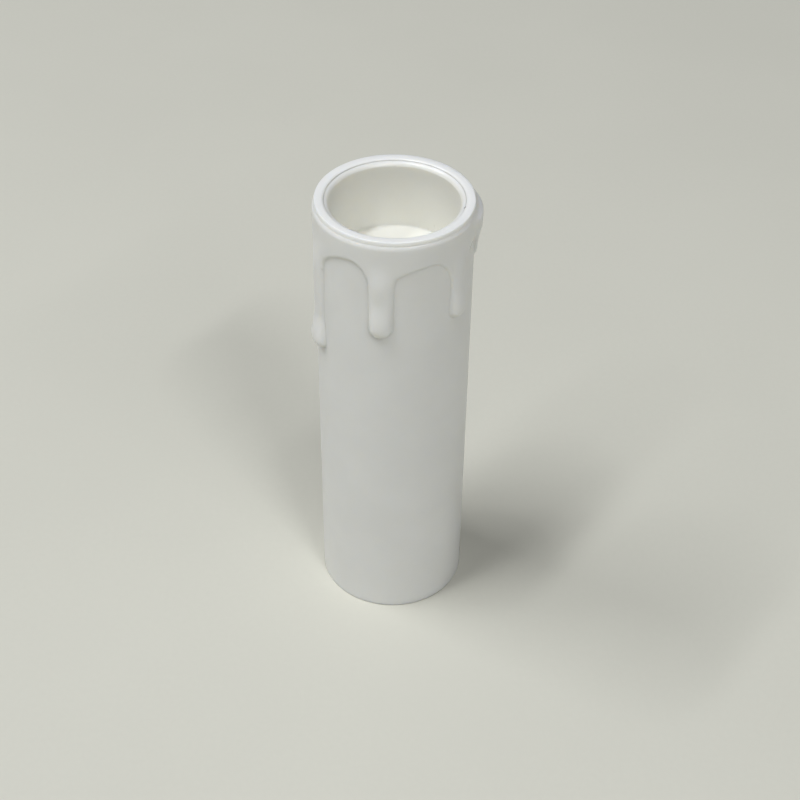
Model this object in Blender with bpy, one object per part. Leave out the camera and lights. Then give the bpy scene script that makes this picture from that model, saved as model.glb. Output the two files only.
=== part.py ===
"""Candle sleeve with moulded wax drips.

One hollow moulding in white plastic: a straight tube with a cup in its head, a
plain bore from the foot up to the cup's floor, and a collar of imitation wax
that runs down its outside in arches and drips.

Metres, +Z up. The origin is the centre of the foot, on the tube's axis. Angles
round the axis are in degrees and count from -Y (the front) towards +X. Depths
are measured down from the rim.
"""
import math
from collections import namedtuple

import bmesh
import bpy

# Tube
LENGTH = 0.085
TUBE_DIAMETER = 0.027
TUBE_WALL = 0.00165
FOOT_EDGE_RADIUS = 0.00025
FOOT_CHAMFER = 0.0004

# Rim and cup
RIM_EDGE_WIDTH = 0.0002
RIM_EDGE_HEIGHT = 0.0003
RIM_STEP = 0.00072
CUP_DIAMETER = 0.02206
CUP_MOUTH_WIDTH = 0.00077
CUP_MOUTH_DEPTH = 0.00095
CUP_MOUTH_BULGE = 0.0001
CUP_DEPTH = 0.013
CUP_FILLET = 0.0003
CUP_FLOOR_THICKNESS = 0.0018

# Wax film: thin, with a rounded shoulder under the rim and a rounded lower edge
FILM_THICKNESS = 0.00032
SHOULDER_HEIGHT = 0.00085
FILM_EDGE_HEIGHT = 0.00045

# Wax drips. root_deg and tip_deg: angle of the middle line at the rim and at
# the tip. length: depth of the tip below the rim. rise and spread: how far
# below the rim's step the neck has its full thickness, and has narrowed from
# its root. root, neck and bead: half width on the tube's wall and thickness at
# the shoulder, in the neck and at the fattest place.
Drip = namedtuple(
    "Drip",
    "root_deg tip_deg length rise spread root_half neck_half neck_proud bead_half bead_proud")
DRIPS = (
    Drip(-69.0, -70.5, 0.0274, 0.0090, 0.0090, 0.0042, 0.0022, 0.00075, 0.0027, 0.00142),
    Drip(-9.0, -9.4, 0.0191, 0.0090, 0.0090, 0.0042, 0.0021, 0.00080, 0.0020, 0.00135),
    Drip(51.5, 51.5, 0.0181, 0.0090, 0.0090, 0.0034, 0.0017, 0.00065, 0.0020, 0.00120),
    Drip(98.0, 100.5, 0.0123, 0.0016, 0.0080, 0.0078, 0.0036, 0.00132, 0.0027, 0.00075),
    Drip(144.0, 145.0, 0.0205, 0.0085, 0.0085, 0.0038, 0.0019, 0.00070, 0.0021, 0.00120),
    Drip(188.0, 188.0, 0.0150, 0.0070, 0.0070, 0.0044, 0.0022, 0.00075, 0.0021, 0.00110),
    Drip(236.0, 235.0, 0.0236, 0.0090, 0.0090, 0.0040, 0.0019, 0.00070, 0.0022, 0.00130),
)
BEAD_TIP_HEIGHT = 0.0019
BEAD_RISE = 0.0056
DRIP_SQUARENESS = 2.6

# Wax arches, one after each drip. crown: angle and depth of the highest place.
# drop: how far each flank runs down before it turns into the drip beside it.
# power: how long the flank stays near the crown's depth.
Arch = namedtuple("Arch", "crown_deg crown_depth first_drop first_power last_drop last_power")
ARCHES = (
    Arch(-33.0, 0.0048, 0.0054, 1.35, 0.0062, 2.1),
    Arch(28.0, 0.0053, 0.0032, 1.5, 0.0072, 1.7),
    Arch(75.0, 0.0056, 0.0055, 1.7, 0.0040, 1.6),
    Arch(124.0, 0.0050, 0.0036, 1.6, 0.0060, 1.7),
    Arch(166.0, 0.0058, 0.0060, 1.7, 0.0045, 1.5),
    Arch(211.0, 0.0046, 0.0045, 1.6, 0.0065, 1.8),
    Arch(263.0, 0.0052, 0.0062, 1.8, 0.0050, 1.5),
)
FLANK_FULLNESS = 2.4

# How far the wax stands inside the wall, so that both become one body, how far
# an arch's flank ends from a drip's middle line, in half widths of its neck, and
# the least share of a drip's whole width that it has on the wall
WAX_ROOT = 0.0005
FLANK_END = 1.0
LEAST_WALL_SHARE = 0.75

# Fineness of the faces
SEGMENTS = 96
ROUND_STEPS = 2
SHOULDER_STEPS = 4
FLANK_COLUMNS = 11
DRIP_COLUMNS = 2
DRIP_POINTS = 15
BACK_POINTS = 3
NECK_ROWS = 14
NECK_ROW_POWER = 1.3
TIP_ROWS = 6
TIP_CUT_DEG = 80.0
SHARP_DEG = 35.0
WELD = 0.000001

# Material
PLASTIC_COLOUR = (0.80, 0.81, 0.79, 1.0)
PLASTIC_ROUGHNESS = 0.38

TUBE_RADIUS = TUBE_DIAMETER / 2
SHOULDER_DEPTH = RIM_STEP + SHOULDER_HEIGHT
FULL_TURN = 360.0


def mix(a, b, share):
    return a + (b - a) * share


def smooth_step(share):
    """Ease from 0 to 1 with a level start and end."""
    share = min(max(share, 0.0), 1.0)
    return share * share * (3.0 - 2.0 * share)


def arc_degrees(width):
    """Angle round the axis that a width on the tube's wall takes up."""
    return math.degrees(width / TUBE_RADIUS)


def on_ring(radius, degrees, depth):
    """Point at a radius and an angle round the axis, and a depth below the rim."""
    angle = math.radians(degrees)
    return (radius * math.sin(angle), -radius * math.cos(angle), LENGTH - depth)


def ellipse_arc(centre_r, centre_z, reach_r, reach_z, first_deg, last_deg, steps):
    """Points (r, z) on an ellipse, from one angle to another."""
    points = []
    for i in range(steps + 1):
        angle = math.radians(mix(first_deg, last_deg, i / steps))
        points.append((centre_r + reach_r * math.cos(angle), centre_z + reach_z * math.sin(angle)))
    return points


def cup_mouth(steps):
    """Points (r, z) of the widening mouth, from the cup's wall up to the rim."""
    slant = math.hypot(CUP_MOUTH_WIDTH, CUP_MOUTH_DEPTH)
    points = []
    for i in range(steps + 1):
        share = i / steps
        bulge = CUP_MOUTH_BULGE * math.sin(math.pi * share)
        r = CUP_DIAMETER / 2 + CUP_MOUTH_WIDTH * share - bulge * CUP_MOUTH_DEPTH / slant
        z = LENGTH - mix(CUP_MOUTH_DEPTH, 0.0, share) + bulge * CUP_MOUTH_WIDTH / slant
        points.append((r, z))
    return points


def tube_profile():
    """Half section (r, z) of the tube: cup floor, cup, rim, outside, foot, bore, web."""
    cup_r = CUP_DIAMETER / 2
    bore_r = TUBE_RADIUS - TUBE_WALL
    floor_z = LENGTH - CUP_DEPTH
    web_z = floor_z - CUP_FLOOR_THICKNESS
    foot_e = FOOT_EDGE_RADIUS
    points = [(0.0, floor_z)]
    points += ellipse_arc(cup_r - CUP_FILLET, floor_z + CUP_FILLET, CUP_FILLET, CUP_FILLET, -90, 0, ROUND_STEPS)
    points += cup_mouth(ROUND_STEPS + 1)
    rim_r = TUBE_RADIUS - RIM_EDGE_WIDTH
    rim_z = LENGTH - RIM_EDGE_HEIGHT
    points += ellipse_arc(rim_r, rim_z, RIM_EDGE_WIDTH, RIM_EDGE_HEIGHT, 90, 0, ROUND_STEPS)
    points += ellipse_arc(TUBE_RADIUS - foot_e, foot_e, foot_e, foot_e, 0, -90, ROUND_STEPS)
    points += [(bore_r + FOOT_CHAMFER, 0.0), (bore_r, FOOT_CHAMFER), (bore_r, web_z), (0.0, web_z)]
    return points


def link_object(name, bm):
    """New object from a bmesh, faces outward, smooth but for its sharp edges."""
    bmesh.ops.recalc_face_normals(bm, faces=bm.faces)
    mesh = bpy.data.meshes.new(name)
    bm.to_mesh(mesh)
    bm.free()
    mesh.shade_smooth()
    mesh.set_sharp_from_angle(angle=math.radians(SHARP_DEG))
    item = bpy.data.objects.new(name, mesh)
    bpy.context.scene.collection.objects.link(item)
    return item


def make_tube(name):
    """The tube, spun round the axis from its half section."""
    bm = bmesh.new()
    line = [bm.verts.new((0.0, -r, z)) for r, z in tube_profile()]
    edges = [bm.edges.new(pair) for pair in zip(line, line[1:])]
    bmesh.ops.spin(
        bm, geom=line + edges, axis=(0.0, 0.0, 1.0), cent=(0.0, 0.0, 0.0),
        angle=math.radians(FULL_TURN), steps=SEGMENTS, use_merge=True)
    bmesh.ops.remove_doubles(bm, verts=bm.verts, dist=WELD)
    return link_object(name, bm)


def loft(name, rings, closed):
    """Wax piece skinned over rings of equally many points, hidden once it is fused.

    A closed loft joins its last ring to its first, an open one gets end caps.
    """
    bm = bmesh.new()
    rows = [[bm.verts.new(point) for point in ring] for ring in rings]
    count = len(rows[0])
    pairs = list(zip(rows, rows[1:]))
    if closed:
        pairs.append((rows[-1], rows[0]))
    else:
        bm.faces.new(rows[0])
        bm.faces.new(rows[-1])
    for row, following in pairs:
        for k in range(count):
            after = (k + 1) % count
            bm.faces.new((row[k], row[after], following[after], following[k]))
    item = link_object(name, bm)
    item.hide_render = True
    item.display_type = "WIRE"
    return item


def flank_depth(share, crown, drop, power):
    """Depth of the film's edge at a share of the way from the crown to the drip."""
    level = (1.0 - share ** power) ** (1.0 / FLANK_FULLNESS)
    return crown + drop * (1.0 - level)


def film_edge():
    """(angle, depth) pairs along the film's scalloped lower edge, once round."""
    shares = [math.sin(math.pi / 2 * i / FLANK_COLUMNS) for i in range(FLANK_COLUMNS + 1)]
    edge = []
    for i, arch in enumerate(ARCHES):
        drip = DRIPS[i]
        following = DRIPS[(i + 1) % len(DRIPS)]
        turn = FULL_TURN if i + 1 == len(DRIPS) else 0.0
        first = drip.root_deg + FLANK_END * arc_degrees(drip.neck_half)
        last = following.root_deg + turn - FLANK_END * arc_degrees(following.neck_half)
        for share in reversed(shares[1:]):
            depth = flank_depth(share, arch.crown_depth, arch.first_drop, arch.first_power)
            edge.append((mix(arch.crown_deg, first, share), depth))
        for share in shares:
            depth = flank_depth(share, arch.crown_depth, arch.last_drop, arch.last_power)
            edge.append((mix(arch.crown_deg, last, share), depth))
        after = ARCHES[(i + 1) % len(ARCHES)]
        over = 2.0 * FLANK_END * arc_degrees(following.neck_half)
        for k in range(1, DRIP_COLUMNS + 1):
            share = k / (DRIP_COLUMNS + 1)
            depth = mix(arch.crown_depth + arch.last_drop, after.crown_depth + after.first_drop, share)
            edge.append((last + over * share, depth))
    return edge


def film_section(depth):
    """Section (r, depth) of the film where its lower edge lies at a depth."""
    foot_r = TUBE_RADIUS - WAX_ROOT / 2
    reach = FILM_THICKNESS + WAX_ROOT / 2
    shoulder = ellipse_arc(foot_r, SHOULDER_DEPTH, reach, SHOULDER_HEIGHT, -90, 0, SHOULDER_STEPS)
    low = depth - FILM_EDGE_HEIGHT
    edge = ellipse_arc(foot_r, low, reach, FILM_EDGE_HEIGHT, 0, 90, ROUND_STEPS)
    back_r = TUBE_RADIUS - WAX_ROOT
    return [(back_r, RIM_STEP)] + shoulder + edge + [(back_r, depth)]


def make_film(name):
    """The film of wax round the head, with its arches between the drips."""
    rings = []
    for degrees, depth in film_edge():
        rings.append([on_ring(r, degrees, d) for r, d in film_section(depth)])
    return loft(name, rings, closed=True)


def drip_depths(drip):
    """Depths of a drip's rows: even down the neck, closing up round the tip."""
    widest = drip.length - BEAD_TIP_HEIGHT
    rows = [mix(RIM_STEP, widest, (i / NECK_ROWS) ** NECK_ROW_POWER) for i in range(NECK_ROWS)]
    last = math.radians(TIP_CUT_DEG)
    rows += [widest + BEAD_TIP_HEIGHT * math.sin(last * i / TIP_ROWS) for i in range(TIP_ROWS + 1)]
    return rows


def drip_size(drip, depth):
    """Half width and thickness of a drip on the wall at a depth."""
    below_step = depth - RIM_STEP
    half = mix(drip.root_half, drip.neck_half, smooth_step(below_step / drip.spread))
    proud = mix(-WAX_ROOT / 2, drip.neck_proud, smooth_step(below_step / drip.rise))
    widest = drip.length - BEAD_TIP_HEIGHT
    swell = smooth_step((depth - widest + BEAD_RISE) / BEAD_RISE)
    half = mix(half, drip.bead_half, swell)
    proud = mix(proud, drip.bead_proud, swell)
    if depth > widest:
        past = (depth - widest) / BEAD_TIP_HEIGHT
        level = math.sqrt(1.0 - past * past)
        half *= level
        proud *= level
    return half, proud


def drip_ring(drip, depth):
    """Level section of a drip: an arch that stands inside the wall, closed at its back."""
    half, proud = drip_size(drip, depth)
    middle = mix(drip.root_deg, drip.tip_deg, depth / drip.length)
    height = proud + WAX_ROOT
    above_wall = max(1.0 - (WAX_ROOT / height) ** 2, 0.0)
    foot = arc_degrees(half) / max(above_wall ** (1.0 / DRIP_SQUARENESS), LEAST_WALL_SHARE)
    ring = []
    for k in range(DRIP_POINTS):
        side = -math.cos(math.pi * k / (DRIP_POINTS - 1))
        rise = math.sqrt(max(1.0 - abs(side) ** DRIP_SQUARENESS, 0.0))
        ring.append(on_ring(TUBE_RADIUS - WAX_ROOT + height * rise, middle + foot * side, depth))
    for k in range(1, BACK_POINTS + 1):
        side = mix(1.0, -1.0, k / (BACK_POINTS + 1))
        ring.append(on_ring(TUBE_RADIUS - 2 * WAX_ROOT, middle + foot * side, depth))
    return ring


def make_drip(name, drip):
    """One drip from under the film's shoulder down to its round tip."""
    rings = [drip_ring(drip, depth) for depth in drip_depths(drip)]
    return loft(name, rings, closed=False)


def fuse(body, piece):
    """Make a piece of wax one with the body."""
    union = body.modifiers.new(piece.name, "BOOLEAN")
    union.operation = "UNION"
    union.solver = "EXACT"
    union.object = piece


def plastic():
    """White satin plastic."""
    material = bpy.data.materials.new("white_plastic")
    material.use_nodes = True
    shader = material.node_tree.nodes["Principled BSDF"]
    shader.inputs["Base Color"].default_value = PLASTIC_COLOUR
    shader.inputs["Roughness"].default_value = PLASTIC_ROUGHNESS
    shader.inputs["Metallic"].default_value = 0.0
    material.diffuse_color = PLASTIC_COLOUR
    return material


def build():
    for item in list(bpy.data.objects):
        bpy.data.objects.remove(item)
    sleeve = make_tube("candle_sleeve")
    sleeve.data.materials.append(plastic())
    fuse(sleeve, make_film("wax_film"))
    for number, drip in enumerate(DRIPS, start=1):
        fuse(sleeve, make_drip(f"wax_drip_{number}", drip))


build()
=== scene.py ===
"""Finished look of the candle sleeve: fine moulded surface, white satin plastic, pale table and long lamps.

The sleeve stands on the floor with its axis on Z. Angles round the axis are in degrees and count from the
front (-Y) towards +X. Depths are measured down from the rim. All lengths are in metres.
"""
import math
from collections import namedtuple

import bpy
import numpy as np
from mathutils import Matrix, Vector


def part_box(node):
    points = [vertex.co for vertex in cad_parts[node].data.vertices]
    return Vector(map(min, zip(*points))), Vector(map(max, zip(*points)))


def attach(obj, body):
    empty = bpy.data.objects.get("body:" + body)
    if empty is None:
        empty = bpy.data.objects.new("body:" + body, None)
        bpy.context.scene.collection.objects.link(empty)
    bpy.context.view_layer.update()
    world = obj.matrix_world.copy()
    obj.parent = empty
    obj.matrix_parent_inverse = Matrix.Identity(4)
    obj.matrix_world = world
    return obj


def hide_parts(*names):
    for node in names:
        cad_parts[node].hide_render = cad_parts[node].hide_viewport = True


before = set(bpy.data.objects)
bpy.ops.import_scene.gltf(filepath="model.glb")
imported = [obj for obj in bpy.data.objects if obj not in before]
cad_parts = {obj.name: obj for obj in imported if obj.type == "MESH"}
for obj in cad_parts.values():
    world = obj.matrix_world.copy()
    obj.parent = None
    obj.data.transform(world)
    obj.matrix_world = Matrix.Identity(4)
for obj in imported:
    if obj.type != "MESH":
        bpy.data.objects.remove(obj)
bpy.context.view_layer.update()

cad_low, cad_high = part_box("candle_sleeve")

# Tube, foot and cup, as in the solid
LENGTH = cad_high.z - cad_low.z
TUBE_RADIUS = 0.0135
TUBE_WALL = 0.00165
FOOT_EDGE_RADIUS = 0.00025
FOOT_CHAMFER = 0.0004
CUP_RADIUS = 0.01103
CUP_MOUTH_WIDTH = 0.00077
CUP_MOUTH_DEPTH = 0.00095
CUP_MOUTH_BULGE = 0.0001
CUP_DEPTH = 0.013
CUP_FILLET = 0.0003
CUP_FLOOR_THICKNESS = 0.0018

# Rim ring: as high over the wax as in the solid, with a softer edge, a dip in its face and a small lip
RIM_RADIUS = CUP_RADIUS + CUP_MOUTH_WIDTH
RIM_STEP = 0.00072
RIM_EDGE_WIDTH = 0.00016
RIM_EDGE_HEIGHT = 0.00065
RIM_DIP_WIDTH = 0.0006
RIM_DIP = 0.00024
LIP_HEIGHT = 0.00008

# Wax film and drips, as in the solid
FILM_THICKNESS = 0.00032
SHOULDER_HEIGHT = 0.00085
FILM_EDGE_HEIGHT = 0.00045
Drip = namedtuple(
    "Drip",
    "root_deg tip_deg length rise spread root_half neck_half neck_proud bead_half bead_proud")
DRIPS = (
    Drip(-69.0, -70.5, 0.0274, 0.0090, 0.0090, 0.0042, 0.0022, 0.00075, 0.0027, 0.00142),
    Drip(-9.0, -9.4, 0.0191, 0.0090, 0.0090, 0.0042, 0.0021, 0.00080, 0.0020, 0.00135),
    Drip(51.5, 51.5, 0.0181, 0.0090, 0.0090, 0.0034, 0.0017, 0.00065, 0.0020, 0.00120),
    Drip(98.0, 100.5, 0.0123, 0.0016, 0.0080, 0.0078, 0.0036, 0.00132, 0.0027, 0.00075),
    Drip(144.0, 145.0, 0.0205, 0.0085, 0.0085, 0.0038, 0.0019, 0.00070, 0.0021, 0.00120),
    Drip(188.0, 188.0, 0.0150, 0.0070, 0.0070, 0.0044, 0.0022, 0.00075, 0.0021, 0.00110),
    Drip(236.0, 235.0, 0.0236, 0.0090, 0.0090, 0.0040, 0.0019, 0.00070, 0.0022, 0.00130),
)
BEAD_TIP_HEIGHT = 0.0019
BEAD_RISE = 0.0056
DRIP_SQUARENESS = 2.6
Arch = namedtuple("Arch", "crown_deg crown_depth first_drop first_power last_drop last_power")
ARCHES = (
    Arch(-33.0, 0.0048, 0.0054, 1.35, 0.0062, 2.1),
    Arch(28.0, 0.0053, 0.0032, 1.5, 0.0072, 1.7),
    Arch(75.0, 0.0056, 0.0055, 1.7, 0.0040, 1.6),
    Arch(124.0, 0.0050, 0.0036, 1.6, 0.0060, 1.7),
    Arch(166.0, 0.0058, 0.0060, 1.7, 0.0045, 1.5),
    Arch(211.0, 0.0046, 0.0045, 1.6, 0.0065, 1.8),
    Arch(263.0, 0.0052, 0.0062, 1.8, 0.0050, 1.5),
)
FLANK_FULLNESS = 2.4
FLANK_END = 1.0
WAX_ROOT = 0.0005
LEAST_WALL_SHARE = 0.75
SHOULDER_DEPTH = RIM_STEP + SHOULDER_HEIGHT

# Film and drips flow into each other over the blend. The trim keeps the wax inside the solid's box.
WAX_BLEND = 0.00030
WAX_TRIM = 0.000003

# Fineness of the surface. A guard row runs close beside an edge, so that the edge keeps its shape when shaded.
COLUMNS_FRONT = 400
COLUMNS_BACK = 120
FRONT_FROM_DEG = -98.0
FRONT_TO_DEG = 112.0
SHOULDER_ROWS = 12
WAX_ROWS = 112
WAX_MARGIN = 0.0004
ROUND_ROWS = 4
GUARD = 0.00005
FINE_GUARD = GUARD / 5
POLE_SHARE = 0.35
SLOPE_STEP_DEG = 0.25

# The photograph's camera
FOCAL_PX = 1532.44
PICTURE_PX = 800.0
SENSOR_MM = 36.0
CAMERA_PITCH_DEG = 40.337
CAMERA_YAW_DEG = 0.335
CAMERA_ROLL_DEG = 0.691
CAMERA_BACK = 0.21477
CAMERA_ABOVE_RIM = 0.13832


def mix(a, b, share):
    """Value that lies a share of the way from a to b."""
    return a + (b - a) * share


def smooth_step(share):
    """Ease from 0 to 1 with a level start and end: 3 u^2 - 2 u^3."""
    share = np.clip(share, 0.0, 1.0)
    return share * share * (3.0 - 2.0 * share)


def smooth_max(a, b, width):
    """The larger of two heights, with the crease where they cross rounded over a width.

    With u = 1/2 + (a - b) / (2 * width), held between 0 and 1, it is b + (a - b) * u + width * u * (1 - u).
    """
    share = np.clip(0.5 + 0.5 * (a - b) / width, 0.0, 1.0)
    return mix(b, a, share) + width * share * (1.0 - share)


def arc_degrees(width):
    """Angle round the axis that a width on the tube's wall takes up."""
    return np.degrees(width / TUBE_RADIUS)


def wrapped(angle):
    """The same angle, between -180 and 180 degrees."""
    return (angle + 180.0) % 360.0 - 180.0


def film_edge_depth(angle):
    """Depth of the film's lower edge.

    Each flank of an arch starts level at the crown and turns steeply down at the drip: with u the share of
    the way from crown to drip, the depth is crown + drop * (1 - (1 - u^power)^(1 / fullness)). Behind a drip
    the depths of the two flanks that meet there are mixed evenly.
    """
    depth = np.zeros_like(angle)
    for i, arch in enumerate(ARCHES):
        before = DRIPS[i]
        after = DRIPS[(i + 1) % len(DRIPS)]
        from_crown = wrapped(angle - arch.crown_deg)
        reach = wrapped(before.root_deg - arch.crown_deg) + FLANK_END * arc_degrees(before.neck_half)
        share = from_crown / reach
        level = np.clip(1.0 - np.clip(share, 0.0, 1.0) ** arch.first_power, 0.0, 1.0)
        flank = arch.crown_depth + arch.first_drop * (1.0 - level ** (1.0 / FLANK_FULLNESS))
        depth = np.where((share >= 0.0) & (share <= 1.0), flank, depth)
        reach = wrapped(after.root_deg - arch.crown_deg) - FLANK_END * arc_degrees(after.neck_half)
        share = from_crown / reach
        level = np.clip(1.0 - np.clip(share, 0.0, 1.0) ** arch.last_power, 0.0, 1.0)
        flank = arch.crown_depth + arch.last_drop * (1.0 - level ** (1.0 / FLANK_FULLNESS))
        depth = np.where((share >= 0.0) & (share <= 1.0), flank, depth)
        following = ARCHES[(i + 1) % len(ARCHES)]
        half = FLANK_END * arc_degrees(after.neck_half)
        across = (wrapped(angle - after.root_deg) + half) / (2.0 * half)
        last_depth = arch.crown_depth + arch.last_drop
        next_depth = following.crown_depth + following.first_drop
        inside = (across > 0.0) & (across < 1.0)
        depth = np.where(inside, mix(last_depth, next_depth, across), depth)
    return depth


def film_height(angle, depth):
    """Height of the film over the wall: a flat band with an elliptic shoulder and an elliptic lower edge.

    Both are reach * (1 - u^2)^(1/2), with u from 0 on the flat band to 1 at the wall. The lower edge is rounded
    across its own direction, so the distance to it is the depth that is left, divided by the length of the
    edge curve's slope.
    """
    edge = film_edge_depth(angle)
    step = math.radians(SLOPE_STEP_DEG) * TUBE_RADIUS
    lower_by = film_edge_depth(angle + SLOPE_STEP_DEG) - film_edge_depth(angle - SLOPE_STEP_DEG)
    slope = lower_by / (2.0 * step)
    inward = (edge - depth) / np.sqrt(1.0 + slope ** 2)
    reach = FILM_THICKNESS + WAX_ROOT / 2
    above = np.clip((SHOULDER_DEPTH - depth) / SHOULDER_HEIGHT, 0.0, 1.0)
    shoulder = reach * np.sqrt(1.0 - above ** 2)
    over = np.clip(1.0 - inward / FILM_EDGE_HEIGHT, 0.0, 1.0)
    lower = reach * np.sqrt(1.0 - over ** 2)
    return np.minimum(shoulder, lower) - WAX_ROOT / 2


def drip_height(drip, angle, depth):
    """Height of one drip over the wall.

    Its level section is an arch (1 - |s|^squareness)^(1/2) that stands a root's depth inside the wall. Half
    width and thickness ease from the root to the neck and on to the bead, and both close round the tip as a
    quarter of an ellipse.
    """
    below_step = depth - RIM_STEP
    half = mix(drip.root_half, drip.neck_half, smooth_step(below_step / drip.spread))
    proud = mix(-WAX_ROOT / 2, drip.neck_proud, smooth_step(below_step / drip.rise))
    widest = drip.length - BEAD_TIP_HEIGHT
    swell = smooth_step((depth - widest + BEAD_RISE) / BEAD_RISE)
    half = mix(half, drip.bead_half, swell)
    proud = mix(proud, drip.bead_proud, swell)
    past = np.clip((depth - widest) / BEAD_TIP_HEIGHT, 0.0, 1.0)
    level = np.sqrt(1.0 - past ** 2)
    half = half * level
    proud = proud * level
    height = proud + WAX_ROOT
    above_wall = np.clip(1.0 - (WAX_ROOT / height) ** 2, 0.0, 1.0) ** (1.0 / DRIP_SQUARENESS)
    foot = arc_degrees(half) / np.maximum(above_wall, LEAST_WALL_SHARE)
    middle = mix(drip.root_deg, drip.tip_deg, depth / drip.length)
    side = np.abs(wrapped(angle - middle)) / np.maximum(foot, 0.001)
    arch = np.sqrt(np.clip(1.0 - side ** DRIP_SQUARENESS, 0.0, 1.0))
    return np.where(depth < drip.length, height * arch - WAX_ROOT, -WAX_ROOT)


def wax_height(angle, depth):
    """Height of the wax over the wall: film and drips flow into each other, and end in a crisp line."""
    height = film_height(angle, depth)
    for drip in DRIPS:
        height = smooth_max(height, drip_height(drip, angle, depth), WAX_BLEND)
    return np.maximum(height - WAX_TRIM, 0.0)


def column_angles():
    """Angles of the surface's columns: close together at the front, wider apart behind."""
    front = np.linspace(FRONT_FROM_DEG, FRONT_TO_DEG, COLUMNS_FRONT, endpoint=False)
    back = np.linspace(FRONT_TO_DEG, FRONT_FROM_DEG + 360.0, COLUMNS_BACK, endpoint=False)
    return np.concatenate([front, back])


def quarter(centre_r, centre_z, reach_r, reach_z, first_deg, last_deg, rows=ROUND_ROWS):
    """Rows (r, z) on a quarter of an ellipse: centre + reach * (cos, sin) of an angle."""
    angle = np.radians(np.linspace(first_deg, last_deg, rows + 1))
    return np.stack([centre_r + reach_r * np.cos(angle), centre_z + reach_z * np.sin(angle)], -1)


def mouth_rows():
    """Rows (r, z) of the cup's widening mouth, from the wall up to the lip.

    They lie on a slanting line, moved off it at right angles by bulge * sin(pi * u), with u the share of the
    way up.
    """
    share = np.linspace(0.0, 1.0, 2 * ROUND_ROWS + 1)
    rise = CUP_MOUTH_DEPTH - RIM_DIP - LIP_HEIGHT
    slant = math.hypot(CUP_MOUTH_WIDTH, rise)
    bulge = CUP_MOUTH_BULGE * np.sin(math.pi * share)
    r = CUP_RADIUS + CUP_MOUTH_WIDTH * share - bulge * rise / slant
    z = LENGTH - CUP_MOUTH_DEPTH + rise * share + bulge * CUP_MOUTH_WIDTH / slant
    return np.stack([r, z], -1)


def ring_rows():
    """Rows (r, z) of the ring: a small upright lip at the mouth, then its face, which dips towards the mouth.

    With u the share of the way across the dip, from its outer edge inwards, the face lies dip * u^2 low.
    """
    share = np.linspace(1.0, 0.0, 2 * ROUND_ROWS + 1)
    face = np.stack([RIM_RADIUS + RIM_DIP_WIDTH * (1.0 - share), LENGTH - RIM_DIP * share ** 2], -1)
    lip_z = LENGTH - RIM_DIP
    lip = [(RIM_RADIUS, lip_z - LIP_HEIGHT + FINE_GUARD), (RIM_RADIUS, lip_z - FINE_GUARD)]
    edge_r = TUBE_RADIUS - RIM_EDGE_WIDTH
    edge = quarter(edge_r, LENGTH - RIM_EDGE_HEIGHT, RIM_EDGE_WIDTH, RIM_EDGE_HEIGHT, 90, 0)
    return lip + list(face) + [(edge_r - GUARD, LENGTH)] + list(edge)


def section_rows():
    """Half section of the sleeve as rows (r, z), with a mark on the rows that carry the wax."""
    floor_z = LENGTH - CUP_DEPTH
    web_z = floor_z - CUP_FLOOR_THICKNESS
    bore_r = TUBE_RADIUS - TUBE_WALL
    longest = max(drip.length for drip in DRIPS)
    shoulder = np.linspace(RIM_STEP, SHOULDER_DEPTH, SHOULDER_ROWS, endpoint=False)
    relief = np.linspace(SHOULDER_DEPTH, longest + WAX_MARGIN, WAX_ROWS)
    inner = [(CUP_RADIUS * POLE_SHARE, floor_z), (CUP_RADIUS - CUP_FILLET - GUARD, floor_z)]
    inner += list(quarter(CUP_RADIUS - CUP_FILLET, floor_z + CUP_FILLET, CUP_FILLET, CUP_FILLET, -90, 0))
    inner += [(CUP_RADIUS, floor_z + CUP_FILLET + GUARD), (CUP_RADIUS, LENGTH - CUP_MOUTH_DEPTH - GUARD)]
    inner += list(mouth_rows()) + ring_rows()
    inner += [(TUBE_RADIUS, LENGTH - RIM_STEP + GUARD)]
    outer = [(TUBE_RADIUS, LENGTH - d) for d in np.concatenate([shoulder, relief])]
    edge = FOOT_EDGE_RADIUS
    lower = [(TUBE_RADIUS, edge + GUARD)]
    lower += list(quarter(TUBE_RADIUS - edge, edge, edge, edge, 0, -90))
    lower += [(TUBE_RADIUS - edge - GUARD, 0.0), (bore_r + FOOT_CHAMFER, 0.0), (bore_r, FOOT_CHAMFER)]
    lower += [(bore_r, FOOT_CHAMFER + GUARD), (bore_r, web_z - GUARD), (bore_r, web_z)]
    lower += [(bore_r - GUARD, web_z), (bore_r * POLE_SHARE, web_z)]
    rows = np.array(inner + outer + lower, float)
    waxed = np.zeros(len(rows), bool)
    waxed[len(inner):len(inner) + len(outer)] = True
    return rows, waxed, floor_z, web_z


def closed_surface(name, grid, first_pole, last_pole):
    """Mesh of a grid of rings, each joined to the next, with a fan from a pole at either end."""
    rows, columns = grid.shape[:2]
    points = np.concatenate([grid.reshape(-1, 3), [first_pole, last_pole]])
    here = np.arange(columns)
    after = (here + 1) % columns
    start = (np.arange(rows - 1) * columns)[:, None]
    quads = np.stack([start + here, start + after, start + columns + after, start + columns + here], -1)
    pole = rows * columns
    first_fan = np.stack([np.full(columns, pole), after, here], -1)
    last = (rows - 1) * columns
    last_fan = np.stack([np.full(columns, pole + 1), last + here, last + after], -1)
    faces = quads.reshape(-1, 4).tolist() + first_fan.tolist() + last_fan.tolist()
    mesh = bpy.data.meshes.new(name)
    mesh.from_pydata(points.tolist(), [], faces)
    mesh.shade_smooth()
    mesh.validate()
    piece = bpy.data.objects.new(name, mesh)
    bpy.context.scene.collection.objects.link(piece)
    return piece


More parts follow.
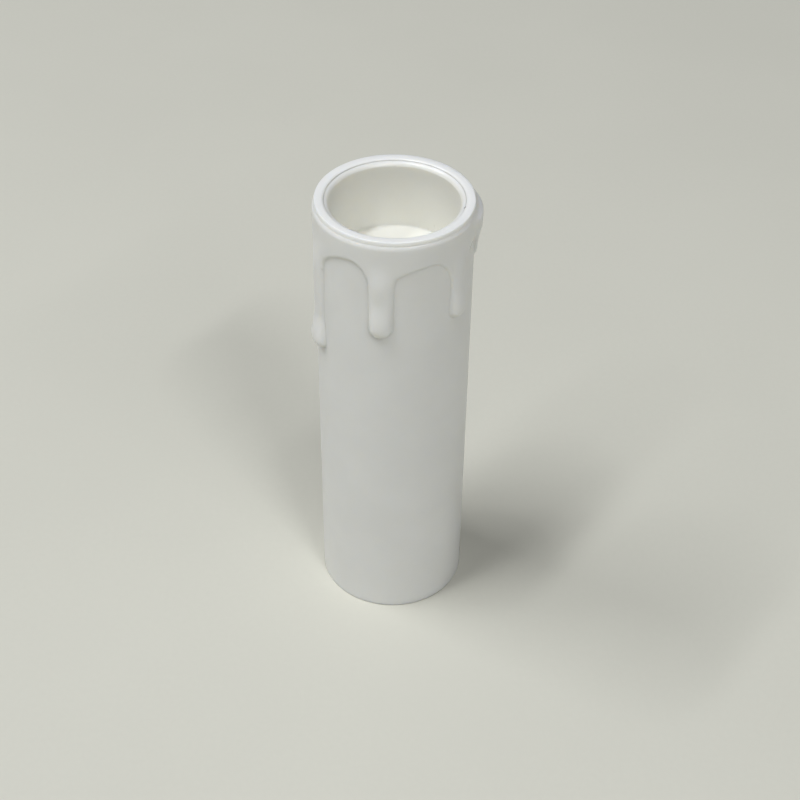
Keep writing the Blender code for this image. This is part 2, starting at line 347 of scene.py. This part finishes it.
def make_sleeve():
    """The sleeve: its half section turned round the axis, the outside raised by the wax's height.

    At an angle t and a row (r, z) the surface lies at x = r * sin(t), y = -r * cos(t), z.
    """
    rows, waxed, floor_z, web_z = section_rows()
    angle = column_angles()[None, :]
    radius = np.repeat(rows[:, :1], angle.shape[1], axis=1)
    depth = LENGTH - rows[:, 1:]
    radius[waxed] += wax_height(np.repeat(angle, waxed.sum(), 0), np.repeat(depth[waxed], angle.shape[1], 1))
    turn = np.radians(angle)
    height = np.repeat(rows[:, 1:], angle.shape[1], axis=1)
    grid = np.stack([radius * np.sin(turn), -radius * np.cos(turn), height], -1)
    return closed_surface("sleeve_surface", grid, (0.0, 0.0, floor_z), (0.0, 0.0, web_z))


class Wire:
    """A shader socket that can be used in Python expressions."""

    def __init__(self, tree, socket):
        self.tree = tree
        self.socket = socket

    def node(self, kind, settings=None, values=None, output=0):
        """Add a node, set its settings, then its sockets' values or links, and return one output."""
        node = self.tree.nodes.new(kind)
        for key, value in (settings or {}).items():
            setattr(node, key, value)
        for key, value in (values or {}).items():
            if isinstance(value, Wire):
                self.tree.links.new(value.socket, node.inputs[key])
            else:
                node.inputs[key].default_value = value
        return Wire(self.tree, node.outputs[output])

    def _math(self, operation, first, second):
        return self.node("ShaderNodeMath", {"operation": operation}, {0: first, 1: second})

    def __add__(self, other):
        return self._math("ADD", self, other)

    def __radd__(self, other):
        return self._math("ADD", other, self)

    def __sub__(self, other):
        return self._math("SUBTRACT", self, other)

    def __rsub__(self, other):
        return self._math("SUBTRACT", other, self)

    def __mul__(self, other):
        return self._math("MULTIPLY", self, other)

    def __rmul__(self, other):
        return self._math("MULTIPLY", other, self)

    def clamp(self, low, high):
        """This value mapped from low..high to 0..1 with eased ends."""
        return self.node(
            "ShaderNodeMapRange", {"interpolation_type": "SMOOTHSTEP"},
            {"Value": self, "From Min": low, "From Max": high})

    def blend(self, first, second):
        """Mix of two colours by this value."""
        return self.node("ShaderNodeMix", {"data_type": "RGBA"}, {0: self, 6: first, 7: second}, output=2)

    def tint(self, colour):
        """Product of this colour and another."""
        settings = {"data_type": "RGBA", "blend_type": "MULTIPLY"}
        return self.node("ShaderNodeMix", settings, {0: 1.0, 6: colour, 7: self}, output=2)

    def part(self, axis):
        """One coordinate (0, 1 or 2) of this vector."""
        return self.node("ShaderNodeSeparateXYZ", None, {"Vector": self}, output=axis)

    def distance(self, point):
        """Distance from this point to another."""
        return self.node("ShaderNodeVectorMath", {"operation": "DISTANCE"}, {0: self, 1: point}, output=1)


def new_material(name):
    """A material with an empty node tree, its shader and its object coordinates."""
    material = bpy.data.materials.new(name)
    material.use_nodes = True
    tree = material.node_tree
    shader = tree.nodes["Principled BSDF"]
    place = tree.nodes.new("ShaderNodeTexCoord")
    return material, tree, shader, Wire(tree, place.outputs["Object"])


def noise(place, scale, detail):
    """Soft random pattern. scale counts its waves in a metre, detail its finer layers."""
    return place.node(
        "ShaderNodeTexNoise", {"noise_dimensions": "3D"},
        {"Vector": place, "Scale": scale, "Detail": detail, "Roughness": 0.5})


# White plastic. Scales are waves in a metre, heights of the relief are in metres.
PLASTIC = (0.81, 0.81, 0.78, 1.0)
PLASTIC_SHADE = (0.79, 0.79, 0.76, 1.0)
CLOUD_SCALE = 90.0
FINE_SCALE = 1500.0
CLOUD_SHARE = 0.9
LEAST_GLOSS = 0.25
CLOUD_GLOSS = 0.06
FINE_GLOSS = 0.015
SKIN_SCALE = 2600.0
SKIN_HEIGHT = 0.000002
SINK_SCALE = 120.0
SINK_HEIGHT = 0.00002
PLASTIC_IOR = 1.49
LIGHT_REACH = 0.0014
LIGHT_REACH_BY_COLOUR = (1.0, 0.95, 0.85)

# Painted warmth inside the cup, standing in for the warmer light that bounces about in it; it ends between
# these two distances outside the cup's wall and floor
PAINTED_CUP_WARMTH = (1.0, 0.99, 0.945, 1.0)
NO_TINT = (1.0, 1.0, 1.0, 1.0)
TINT_END = 0.0006
TINT_START = 0.0001

# Grey darkening in the corner between lip and ring, and a dark speck on it
CORNER_GREY = (0.48, 0.47, 0.43, 1.0)
CORNER_GREY_REACH = 0.00014
CORNER_GREY_SCALE = 420.0
LEAST_CORNER_GREY = 0.3
MORE_CORNER_GREY = 0.35
SPECK = (0.20, 0.18, 0.16, 1.0)
SPECK_DEG = 77.0
SPECK_REACH = 0.0003


def off_axis(place):
    """Distance from the axis."""
    level = place.node("ShaderNodeVectorMath", {"operation": "MULTIPLY"}, {0: place, 1: (1.0, 1.0, 0.0)})
    return level.distance((0.0, 0.0, 0.0))


def on_circle(place, radius, height, reach):
    """1 on a level circle round the axis, falling to 0 at a reach from it."""
    outward = off_axis(place) - radius
    upward = place.part(2) - height
    return (outward * outward + upward * upward).clamp(reach ** 2, (reach / 3) ** 2)


def in_cup(place):
    """1 inside the cup and 0 elsewhere, where the painted warmth goes: near the axis and above the cup's floor.
    """
    floor_z = LENGTH - CUP_DEPTH
    near_axis = off_axis(place).clamp(CUP_RADIUS + TINT_END, CUP_RADIUS + TINT_START)
    above_floor = place.part(2).clamp(floor_z - TINT_END, floor_z - TINT_START)
    return near_axis * above_floor


def with_corner_grey(place, colour):
    """The colour darkened grey along the corner at the ring's inner edge, with one dark speck there."""
    corner_z = LENGTH - RIM_DIP
    uneven = noise(place, CORNER_GREY_SCALE, 2.0).clamp(0.30, 0.62) * MORE_CORNER_GREY + LEAST_CORNER_GREY
    # Grey darkening along the corner between lip and ring, uneven along its length
    corner_grey = on_circle(place, RIM_RADIUS, corner_z, CORNER_GREY_REACH) * uneven
    colour = corner_grey.blend(colour, CORNER_GREY)
    turn = math.radians(SPECK_DEG)
    speck_place = (RIM_RADIUS * math.sin(turn), -RIM_RADIUS * math.cos(turn), corner_z)
    speck = place.distance(speck_place).clamp(SPECK_REACH, SPECK_REACH / 2)
    return speck.blend(colour, SPECK)


def white_plastic():
    """Satin white moulding: faint clouding, uneven gloss, a fine skin and soft sink marks."""
    material, tree, shader, place = new_material("white_plastic")
    clouds = noise(place, CLOUD_SCALE, 3.0)
    fine = noise(place, FINE_SCALE, 2.0)
    shade = (clouds * CLOUD_SHARE + fine * (1.0 - CLOUD_SHARE)).clamp(0.35, 0.65)
    # Inside the cup the colour takes a painted warmth for the light bounced about in it
    colour = in_cup(place).blend(NO_TINT, PAINTED_CUP_WARMTH).tint(shade.blend(PLASTIC, PLASTIC_SHADE))
    colour = with_corner_grey(place, colour)
    gloss = (clouds * CLOUD_GLOSS + fine * FINE_GLOSS) + LEAST_GLOSS
    relief = noise(place, SKIN_SCALE, 3.0) * SKIN_HEIGHT + noise(place, SINK_SCALE, 2.0) * SINK_HEIGHT
    bump = place.node("ShaderNodeBump", None, {"Strength": 1.0, "Distance": 1.0, "Height": relief})
    tree.links.new(colour.socket, shader.inputs["Base Color"])
    tree.links.new(gloss.socket, shader.inputs["Roughness"])
    tree.links.new(bump.socket, shader.inputs["Normal"])
    shader.inputs["IOR"].default_value = PLASTIC_IOR
    shader.inputs["Subsurface Weight"].default_value = 1.0
    shader.inputs["Subsurface Radius"].default_value = LIGHT_REACH_BY_COLOUR
    shader.inputs["Subsurface Scale"].default_value = LIGHT_REACH
    return material


# Table
FLOOR = (0.61, 0.60, 0.517, 1.0)
FLOOR_SHADE = 0.975
FLOOR_HALF_SIDE = 3.0
MOTTLE_SCALE = 14.0
MOTTLE_SHARE = 0.7
GRAIN_SCALE = 900.0
FLOOR_ROUGHNESS = 0.62
FLOOR_GLOSS = 0.25


def table_top():
    """Pale matt table with a faint unevenness."""
    material, tree, shader, place = new_material("table_top")
    mottle = noise(place, MOTTLE_SCALE, 4.0)
    grain = noise(place, GRAIN_SCALE, 3.0)
    darker = tuple(channel * FLOOR_SHADE for channel in FLOOR[:3]) + (1.0,)
    shade = (mottle * MOTTLE_SHARE + grain * (1.0 - MOTTLE_SHARE)).clamp(0.35, 0.65)
    tree.links.new(shade.blend(FLOOR, darker).socket, shader.inputs["Base Color"])
    shader.inputs["Roughness"].default_value = FLOOR_ROUGHNESS
    shader.inputs["Specular IOR Level"].default_value = FLOOR_GLOSS
    return material


def make_floor():
    """A wide level floor under the sleeve."""
    side = FLOOR_HALF_SIDE
    mesh = bpy.data.meshes.new("floor")
    corners = [(-side, -side, 0.0), (side, -side, 0.0), (side, side, 0.0), (-side, side, 0.0)]
    mesh.from_pydata(corners, [], [(0, 1, 2, 3)])
    floor = bpy.data.objects.new("floor", mesh)
    bpy.context.scene.collection.objects.link(floor)
    floor.data.materials.append(table_top())


def make_camera():
    """Camera at the photograph's place, from its pitch, yaw, roll and focal length."""
    pitch, yaw, roll = (math.radians(v) for v in (CAMERA_PITCH_DEG, CAMERA_YAW_DEG, CAMERA_ROLL_DEG))
    ahead = Vector((math.sin(yaw) * math.cos(pitch), math.cos(yaw) * math.cos(pitch), -math.sin(pitch)))
    right = ahead.cross(Vector((0.0, 0.0, 1.0))).normalized()
    up = right.cross(ahead)
    across = right * math.cos(roll) + up * math.sin(roll)
    upward = up * math.cos(roll) - right * math.sin(roll)
    turn = Matrix((across, upward, -ahead)).transposed().to_4x4()
    data = bpy.data.cameras.new("camera")
    data.sensor_width = SENSOR_MM
    data.lens = FOCAL_PX / PICTURE_PX * SENSOR_MM
    data.clip_start = 0.01
    camera = bpy.data.objects.new("camera", data)
    camera.matrix_world = Matrix.Translation((0.0, -CAMERA_BACK, LENGTH + CAMERA_ABOVE_RIM)) @ turn
    bpy.context.scene.collection.objects.link(camera)
    bpy.context.scene.camera = camera


# Long narrow lamps and one wide soft one hang level and side by side over the sleeve. across: how far a lamp's
# middle line lies to the left of the sleeve, at right angles to the lamps. near and far: where it starts and
# ends, counted towards the front. These and the width are shares of the lamps' height over the rim.
Lamp = namedtuple("Lamp", "name across near far width light")
LAMP_HEIGHT = 2.0
LAMP_BEARING_DEG = 36.0
LAMPS = (
    Lamp("lamp_far_left", 0.655, 0.05, 0.50, 0.07, 0.188),
    Lamp("lamp_far_left_end", 0.655, 0.50, 0.95, 0.07, 0.035),
    Lamp("lamp_left", 0.180, 0.10, 0.50, 0.07, 0.318),
    Lamp("lamp_left_end", 0.180, 0.50, 0.95, 0.07, 0.065),
    Lamp("lamp_left_wide", 0.420, 0.00, 0.90, 0.45, 0.045),
    Lamp("lamp_front", -0.290, 0.10, 0.50, 0.07, 0.106),
    Lamp("lamp_right", -0.775, 0.25, 0.58, 0.07, 0.150),
    Lamp("lamp_far_right", -1.250, 0.10, 0.90, 0.07, 0.055),
)
LAMP_COLOUR = (0.98, 1.0, 1.05)
SKY = (1.0, 1.0, 1.0, 1.0)
SKY_STRENGTH = 0.015


def make_lamps():
    """Long level lamps that face down.

    The bearing turns clockwise from +Y, seen from above. A lamp's light is the brightness that it gives a white
    level floor: with c the lamp's distance to the side as a share of its height, its power is
    light * pi^2 * height^2 * (1 + c^2)^2.
    """
    turn = math.radians(LAMP_BEARING_DEG)
    along = Vector((math.sin(turn), math.cos(turn), 0.0))
    left = Vector((-math.cos(turn), math.sin(turn), 0.0))
    rise = LAMP_HEIGHT - LENGTH
    for lamp in LAMPS:
        aside = left * lamp.across - along * (lamp.near + lamp.far) / 2
        data = bpy.data.lights.new(lamp.name, "AREA")
        data.shape = "RECTANGLE"
        data.size = (lamp.far - lamp.near) * rise
        data.size_y = lamp.width * rise
        data.energy = lamp.light * math.pi ** 2 * LAMP_HEIGHT ** 2 * (1.0 + aside.length_squared) ** 2
        data.color = LAMP_COLOUR
        item = bpy.data.objects.new(lamp.name, data)
        place = aside * rise + Vector((0.0, 0.0, LAMP_HEIGHT))
        item.matrix_world = Matrix.Translation(place) @ Matrix.Rotation(math.pi / 2 - turn, 4, "Z")
        bpy.context.scene.collection.objects.link(item)


def make_sky():
    """Even pale light from all round."""
    world = bpy.data.worlds.new("room")
    world.use_nodes = True
    sky = world.node_tree.nodes["Background"]
    sky.inputs["Color"].default_value = SKY
    sky.inputs["Strength"].default_value = SKY_STRENGTH
    bpy.context.scene.world = world


sleeve = make_sleeve()
sleeve.data.materials.append(white_plastic())
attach(sleeve, "root")
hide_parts("candle_sleeve")
make_floor()
make_camera()
make_lamps()
make_sky()
bpy.context.scene.view_settings.view_transform = "Standard"
